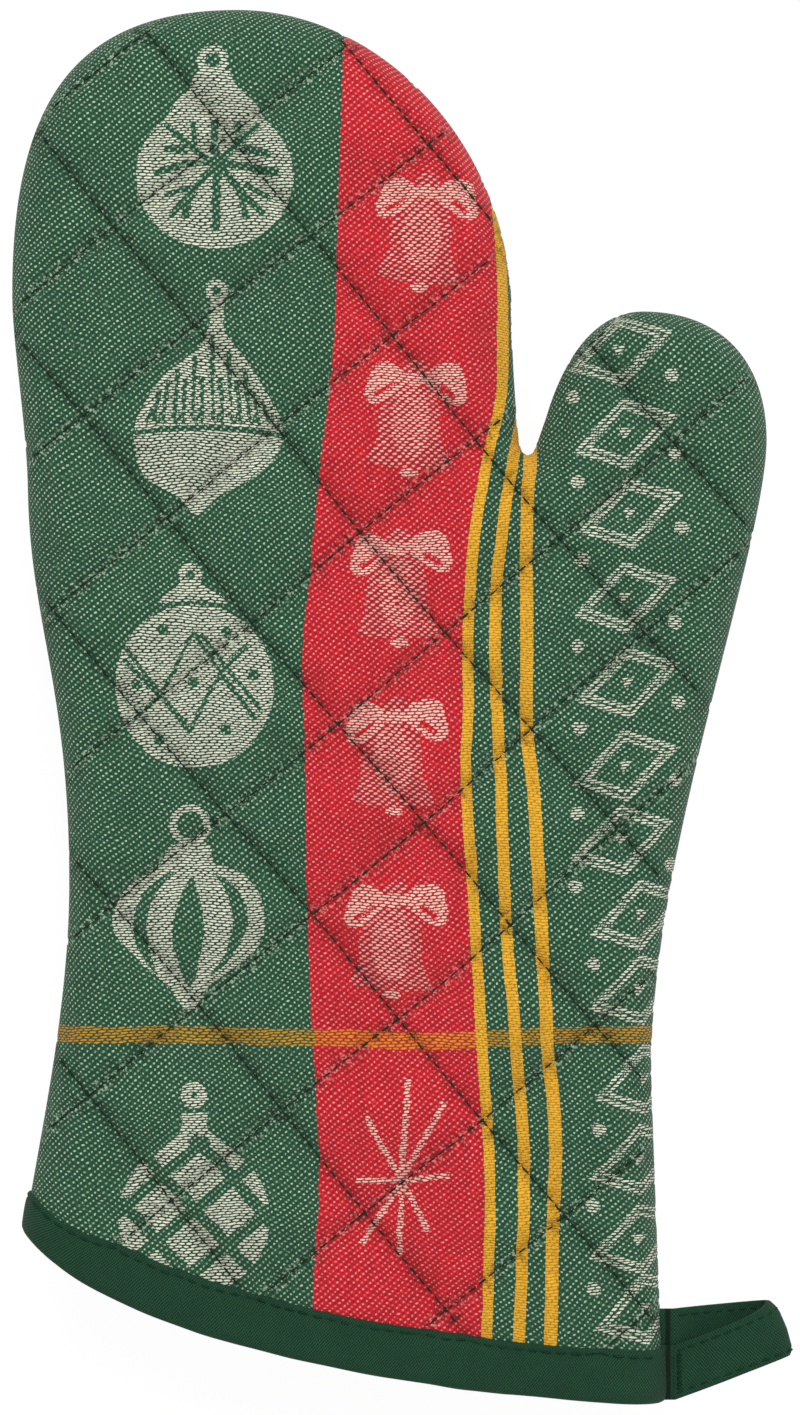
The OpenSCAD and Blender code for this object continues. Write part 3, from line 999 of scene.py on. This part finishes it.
class Value:
    """An output in a shader graph that can be calculated with."""

    def __init__(self, graph, socket):
        self.graph, self.socket = graph, socket

    __add__, __sub__ = operation("ADD"), operation("SUBTRACT")
    __mul__, __truediv__ = operation("MULTIPLY"), operation("DIVIDE")
    __pow__, __abs__ = operation("POWER"), operation("ABSOLUTE")
    floor, round, sin = operation("FLOOR"), operation("ROUND"), operation("SINE")


class Graph:
    """Short ways to add shader nodes."""

    def __init__(self, name, roughness=0.88, sheen=0.06, specular=0.18):
        self.mat = bpy.data.materials.new(name)
        self.mat.use_nodes = True
        self.nodes, self.links = self.mat.node_tree.nodes, self.mat.node_tree.links
        self.bsdf = self.nodes["Principled BSDF"]
        self.fill(self.bsdf, {"Roughness": roughness, "Sheen Weight": sheen, "Sheen Roughness": 0.6})
        self.fill(self.bsdf, {"Specular IOR Level": specular})

    def fill(self, node, inputs):
        """Values are linked, and colours are given as they look, from 0 to 255."""
        for key, value in inputs.items():
            if isinstance(value, Value):
                self.links.new(value.socket, node.inputs[key])
            else:
                node.inputs[key].default_value = linear(value) if isinstance(value, tuple) else value

    def node(self, kind, output, inputs, **settings):
        node = self.nodes.new("ShaderNode" + kind)
        for key, value in settings.items():
            setattr(node, key, value)
        self.fill(node, inputs)
        return Value(self, node.outputs[output])

    def axes(self, name):
        vector = self.node("Attribute", "Vector", {}, attribute_name=name)
        return self.node("SeparateXYZ", 0, {0: vector}), self.node("SeparateXYZ", 1, {0: vector}), vector

    def join(self, x, y):
        return self.node("CombineXYZ", 0, {0: x, 1: y})

    def noise(self, vector, scale, detail=2.0):
        return self.node("TexNoise", 0, {"Vector": vector, "Scale": scale, "Detail": detail})

    def random(self, x, y):
        return self.node("TexWhiteNoise", "Value", {"Vector": self.join(x, y)}, noise_dimensions="2D")

    def mix(self, share, a, b):
        return self.node("Mix", 2, {"Factor": share, 6: a, 7: b}, data_type="RGBA")

    def smooth(self, value, low, high, to_low=0.0, to_high=1.0):
        inputs = {"Value": value, "From Min": low, "From Max": high, "To Min": to_low, "To Max": to_high}
        return self.node("MapRange", 0, inputs, interpolation_type="SMOOTHSTEP")

    def bump(self, height, distance, strength, under=None):
        inputs = {"Height": height, "Distance": distance, "Strength": strength}
        return self.node("Bump", 0, inputs if under is None else {**inputs, "Normal": under})

    def finish(self, colour, normal):
        self.fill(self.bsdf, {"Base Color": colour, "Normal": normal})
        return self.mat


PITCH_X, PITCH_Y, LEAN = 1.90, 0.66, -0.4  # five-end satin: its cell in mm, and how far each row steps along
SPREAD = 0.35  # how much the floats differ in length
PUCKER = 3.3  # from one pucker to the next along a stitch line


def woven(name, ground, thread, wide, tall, quilted=True, weak=0.0):
    """Jacquard cloth: in each cell of a stepped weave one thread lies on top, wide and tall as given."""
    g = Graph(name)
    x, y, fab = g.axes("fab")
    drift, jitter = g.noise(fab, 0.035, 1.0), g.noise(fab, 0.28)
    v = (y + (drift * 4.5 + jitter * 0.8)) / PITCH_Y
    row = v.floor()
    u = (x + jitter * 1.6) / PITCH_X + row * LEAN
    column = u.floor()
    luck, luck2 = g.random(column, row), g.random(row, column + 17.3)
    fu, fv = abs(u - column - 0.5), abs(v - row - 0.5)
    size = luck * SPREAD + (1 - SPREAD / 2)
    away = (fu / (size * (wide / 2))) ** 2.4 + (fv / (tall / 2)) ** 2.4
    on_top = g.smooth(away, 0.45, 1.5, 1.0, 0.0)
    if weak:
        on_top = on_top * g.smooth(luck2, 0.0, 0.8, 1 - weak, 1.0)
    rib = (u * (10 * math.pi)).sin()
    cloth = g.mix(luck2 * 0.30, ground, darker(ground, 0.66))
    cloth = g.mix(g.smooth(rib, -1.0, 1.0, 0.0, 0.16), cloth, darker(ground, 0.55))
    cloth = g.mix(g.smooth(fu, 0.22, 0.5, 0.0, 0.55), cloth, darker(ground, 0.5))
    faded = tuple(int(0.70 * a + 0.30 * b) for a, b in zip(thread, ground))
    colour = g.mix(on_top, cloth, g.mix(luck2 * 0.34, thread, faded))
    shade = g.noise(fab, 0.045, 3.0) * 0.16 + g.noise(g.join(x, y * 0.05), 0.55) * 0.16
    colour = g.mix(g.smooth(shade, 0.1, 0.22, 0.22, 0.0), colour, darker(ground, 0.45))
    fuzz = g.noise(fab, 1.6, 3.0)
    colour = g.mix(g.smooth(fuzz, 0.30, 0.52, 0.34, 0.0), colour, darker(ground, 0.5))
    colour = g.mix(g.smooth(fuzz, 0.62, 0.80, 0.0, 0.26), colour, thread)
    normal = g.bump(on_top + rib * 0.16, 0.00016, 0.75)
    if quilted:
        qx, qy, _ = g.axes("quilt")
        for dist, along, gap, run in ((qy, qx, RISE_GAP, RISE), (qx, qy, FALL_GAP, FALL)):
            off = abs(dist - dist.round()) * float(gap)
            # painted shade: the colour darkens within about 1.7 mm of each stitch line, where the cloth dips
            # into the crease
            colour = g.mix(g.smooth(off, 0.2, 1.7, 0.2, 0.0), colour, darker(ground, 0.35))
            if dist is qy:  # light thread colour in patches along the rising lines: partly raised threads, partly painted highlight where the puckers catch the light
                raised_threads_and_glint = g.smooth(g.noise(fab, 1.3), 0.55, 0.66, 0.0, 0.5)
                colour = g.mix(raised_threads_and_glint * g.smooth(off, 0.7, 2.4, 1.0, 0.0), colour, thread)
            close = g.smooth(off, 0.3, 4.2, 1.0, 0.0)
            wave = (along * (2 * math.pi * float(np.linalg.norm(run)) / PUCKER)).sin()
            slow = g.noise(g.join(along * 7.0, dist.round()), 1.0)
            normal = g.bump(close * (wave * 0.35 + slow * 2.2), 0.0011, 0.9, normal)
    return g.finish(colour, normal)


def tape_cloth(name, base, lighter, fold_shadow=None):
    """Fine twill tape. The last argument, if given, is a middle and a distance to both sides of it where
    painted shadow darkens the cloth, standing for the shade in a fold.
    """
    g = Graph(name, sheen=0.03)
    x, y, fab = g.axes("fab")
    rib = ((x * 1.3 + y) * (2 * math.pi / 0.85)).sin()
    cross = ((x - y * 0.6) * (2 * math.pi / 0.62)).sin()
    weave = rib * 0.6 + cross * 0.4
    luck = g.noise(g.join(x * 2.4, y * 2.4), 1.0, 3.0)
    colour = g.mix(g.smooth(weave, -0.9, 0.9), darker(base, 0.5), lighter)
    colour = g.mix(g.smooth(luck, 0.42, 0.78, 0.0, 0.55), colour, lighter)
    colour = g.mix(g.smooth(g.noise(fab, 0.16, 3.0), 0.3, 0.7, 0.18, 0.0), colour, darker(base, 0.5))
    if fold_shadow:
        # painted shadow: near-black bands across the tape at that distance on both sides of the middle
        near = abs(abs(x - fold_shadow[0]) - fold_shadow[1])
        colour = g.mix(g.smooth(near, 0.35, 0.9, 0.85, 0.0), colour, (4, 14, 10))
    return g.finish(colour, g.bump(g.noise(fab, 0.35), 0.0005, 0.5, g.bump(weave, 0.00009, 0.7)))


def thread_mat(name, base):
    g = Graph(name, roughness=0.75, sheen=0.0, specular=0.12)
    luck = g.noise(g.node("TexCoord", "Object", {}), 1400.0)
    colour = g.mix(g.smooth(luck, 0.35, 0.7, 0.0, 0.45), base, darker(base, 0.55))
    return g.finish(colour, g.bump(luck, 0.0001, 0.5))


def fleece(name, base):
    g = Graph(name, roughness=0.95)
    fluff = g.noise(g.axes("fab")[2], 0.9, 6.0)
    return g.finish(g.mix(g.smooth(fluff, 0.3, 0.7), darker(base, 0.86), base), g.bump(fluff, 0.0008, 0.8))


COLOURS = [
    woven("cloth_green", (38, 86, 58), (184, 210, 182), 0.26, 0.74, weak=0.6),
    woven("cloth_red", (210, 26, 42), (246, 150, 146), 0.26, 0.74, weak=0.6),
    woven("cloth_yellow", (216, 152, 30), (232, 176, 48), 1.0, 0.86),
    woven("cloth_cream", (36, 68, 48), (230, 232, 210), 0.87, 0.69),
    woven("cloth_pink", (196, 34, 46), (246, 208, 190), 0.84, 0.70),
    woven("cloth_gold", (74, 88, 46), (202, 148, 44), 0.80, 0.72),
    woven("cloth_orange", (198, 66, 36), (236, 140, 50), 0.80, 0.72),
    woven("cloth_soft_pink", (194, 34, 48), (244, 188, 174), 0.46, 0.74, weak=0.3),
    woven("cloth_mid_pink", (194, 36, 48), (246, 200, 184), 0.62, 0.74, weak=0.25),
]
TAPE_COLOURS = (13, 52, 32), (30, 76, 51)
BINDING = tape_cloth("binding_tape", *TAPE_COLOURS)
LINING_CLOTH = woven("lining_cloth", (205, 197, 176), (226, 220, 202), 0.5, 0.7, quilted=False)
FLEECE = fleece("batting", (236, 233, 224))
THREAD = thread_mat("quilting_thread", (22, 44, 26))
GREEN_THREAD = thread_mat("binding_thread", (16, 54, 36))
SEAM_THREAD = thread_mat("seam_thread", (214, 207, 188))


# ---- Building ----

PRINT_SCALE = 1 - 10.5 / 1258  # the pattern is drawn this much too large


def ragged(shape, colour):
    """Woven shapes end at whole threads, so their edges aren't clean."""
    return shape + rng.uniform(-1, 1, shape.shape) * [0.24, 0.12] * (1.0 if colour != YELLOW else 0.3)


def build_side(side, word):
    """All plies and the quilting thread of one side."""
    side.inflate()
    shapes = [(ragged(dense(s * PRINT_SCALE, True, 0.8), c), c) for s, c in pattern()]
    fine, rough = laid(side, shapes, 1.7), laid(side, [], 2.6)
    shells = ply(f"{word}_shell_cloth", 0.0, SHELL, COLOURS, *fine)
    battings = ply(f"{word}_batting_fleece", SHELL + 0.25, BATTING, [FLEECE], *rough)
    linings = ply(f"{word}_lining_cloth", BATTING + 0.05, LINING, [LINING_CLOTH], *rough)
    threads = quilt_thread(side, f"{word}_quilting_thread", THREAD)
    layers = (
        ("shell", shells, "printed_cotton"), ("batting", battings, "batting"),
        ("lining", linings, "lining_cloth"), ("quilting", threads, "quilting_thread"),
    )
    for layer, made, slot in layers:
        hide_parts(f"{word}_{layer}_fingers")
        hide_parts(f"{word}_{layer}_hand", f"{word}_{layer}_thumb")
        for obj in made:
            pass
    return shells, battings, linings, threads


def seam_band():
    """The seam allowance of all plies, overlocked, inside along the outline."""
    line = OUTLINE[from_cuff(OUTLINE) > BINDING_W + 4]
    crotch = int(np.argmin(((line - CROTCH) ** 2).sum(1)))
    above = (line[crotch:, 1] > SPLIT_Y).astype(int)
    left = crotch + int(np.flatnonzero(np.diff(above) < 0)[-1])
    section = (5.2, 1.1, 0), (9.8, 0.7, 1), (9.8, -0.7, 1), (5.2, -1.1, 0)  # inset, height and ripple
    for name, spans in (("fingers", [(crotch, left + 1)]), ("hand", [(0, crotch + 1), (left, len(line))])):
        heap = Heap()
        for a, b in spans:
            part = line[a:b]
            ripple = 0.35 * np.sin(np.arange(b - a) * 1.7)
            rings = [np.column_stack([side_of(part, i), SEAM_Z + h + ripple * k]) for i, h, k in section]
            points = np.array(rings).transpose(1, 0, 2).reshape(-1, 3)
            heap.add(points, [face[::-1] for face in sweep(b - a, len(section))])
        obj = heap.make(f"seam_allowance_{name}", SEAM_THREAD)
        bend(obj, name == "fingers")
    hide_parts("seam_overlock_fingers")
    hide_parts("seam_overlock_hand", "seam_overlock_thumb")


front, back = Side(1, 3), Side(-1, 8)
front_parts = build_side(front, "front")
back_parts = build_side(back, "back")
seam_band()

# Cuff binding: the tape lies on the shell, turns round the edge and lies on the lining
outer_way = [
    (12.6, 0.1), (12.7, -0.35), (12.35, -0.8), (11.6, -0.82), (11.0, -0.62), (10.4, -0.85), (9, -0.95),
    (7, -0.98), (5, -0.98), (3, -0.95), (1.6, -0.82), (0.5, -0.35), (0.0, 0.5), (-0.12, 1.6), (-0.12, 3.2),
    (0.05, 4.5), (0.5, 5.2), (1.6, 5.6), (4, 5.7), (8, 5.7), (12, 5.55), (12.5, 5.3), (12.5, 4.95),
]
inner_way = [
    (11.5, 4.9), (8, 4.88), (4, 4.88), (1.6, 4.85), (0.75, 4.6), (0.55, 3.6), (0.55, 1.2), (0.8, 0.1),
    (1.8, -0.06), (4, -0.08), (8, -0.08), (11.6, -0.08),
]
binding = ring_solid("cuff_binding_tape", outer_way + inner_way, front, back, BINDING, 0.14)
for v in binding.data.vertices:  # nothing goes below the surface that the mitt lies on
    v.co.z = max(v.co.z, 0.05 * MM)
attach(binding, "hand")
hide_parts("cuff_binding")

heap = Heap()
for side in (front, back):
    line = dense(cuff_row(11.2)[0], step=0.8)
    d, _, _ = nearest(line, OUTLINE)
    line = line[inside(line, OUTLINE) & (d > 0.6)]

    def height(p, side=side):
        n = side.normal(p)
        q = side.surface(p) + 0.72 * n
        q[:, 2] = np.maximum(q[:, 2], 0.35)
        return q, n

    stitches(line, height, heap, 2.5, 3.4, 0.22, 0.25)
topstitch = heap.make("cuff_topstitch", GREEN_THREAD)
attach(topstitch, "hand")
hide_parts("binding_topstitch")

tape, tape_thread = loop_tape(GREEN_THREAD)
loop_pieces = (tape, "hanging_loop", "binding_tape"), (tape_thread, "loop_edge_stitch", "binding_thread")
for obj, node, slot in loop_pieces:
    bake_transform(obj)
    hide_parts(node)

# Bar tacks across both legs of the loop, close to the seam
heap = Heap()
for start in (22, 330):
    m = loop_middle(np.linspace(start, start + 9, 5))
    d = m[-1] - m[0]
    n = np.array([d[2], 0, -d[0]])
    n /= np.linalg.norm(n)
    n = n if (n[2] > 0) == (start < 180) else -n
    arch = np.array([0.0, 0.16, 0.24, 0.16, 0.0])[:, None]
    for k in range(13):
        across = np.array([0, -4 + 8 * k / 12 + 0.12 * (k % 2), 0])
        heap.add(*tube(m + across + n * (TAPE_T / 2 + arch - 0.04), 0.24))
tack = heap.make("loop_tack", GREEN_THREAD)
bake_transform(tack)
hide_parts("loop_bar_tack")

# ---- Scene ----

FLOOR_Z, FLOOR_HALF = -26, 3000  # low enough for the fingers to bend back
corners = [(x * FLOOR_HALF, y * FLOOR_HALF, FLOOR_Z) for x, y in ((-1, -1), (1, -1), (1, 1), (-1, 1))]
plane = make("floor", corners, [(0, 1, 2, 3)], smooth=False)
white = Graph("pale_floor", roughness=0.9, sheen=0.0)
white.bsdf.inputs["Base Color"].default_value = (0.1, 0.1, 0.1, 1)
white.bsdf.inputs["Emission Color"].default_value = (1, 1, 1, 1)
white.bsdf.inputs["Emission Strength"].default_value = 0.92
plane.data.materials.append(white.mat)

world = bpy.data.worlds.new("studio")
world.use_nodes = True
world.node_tree.nodes["Background"].inputs[0].default_value = (1, 1, 1, 1)
world.node_tree.nodes["Background"].inputs[1].default_value = 0.62
bpy.context.scene.world = world


def softbox(name, place, size, watts):
    data = bpy.data.lights.new(name, "AREA")
    data.shape, data.size, data.energy = "SQUARE", size, watts
    lamp = bpy.data.objects.new(name, data)
    lamp.location = place
    lamp.rotation_euler = (-Vector(place)).to_track_quat("-Z", "Y").to_euler()
    bpy.context.scene.collection.objects.link(lamp)


softbox("key", (0.1, 0.95, 1.5), 1.0, 21.5)
softbox("fill", (0.4, -1.1, 1.7), 1.5, 7)

LENS, SENSOR = 135, 36
SHOWN_HEIGHT, AIM_Y = 0.3355, -0.00036  # metres of height that fill the picture, and where its middle lies
camera_data = bpy.data.cameras.new("camera")
camera_data.sensor_fit, camera_data.sensor_height, camera_data.lens = "VERTICAL", SENSOR, LENS
camera_data.clip_start, camera_data.clip_end = 0.01, 50
camera = bpy.data.objects.new("camera", camera_data)
camera.location = (0, AIM_Y, SEAM_Z * MM + SHOWN_HEIGHT * LENS / SENSOR)
bpy.context.scene.collection.objects.link(camera)
bpy.context.scene.camera = camera
bpy.context.scene.view_settings.view_transform = "Standard"

# ---- Flat sizes (the loops below do nothing with them) ----

# Flat sizes are the cut ones, with 8 mm of seam allowance at the outline
FLATS = ((0.136, 0.110), (0.185, 0.266))
for word, (shells, battings, linings, _) in (("front", front_parts), ("back", back_parts)):
    for obj in battings:
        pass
    for made in (shells, linings):
        for obj, batting, flat, area in zip(made, battings, FLATS, (0.0130, 0.0365)):
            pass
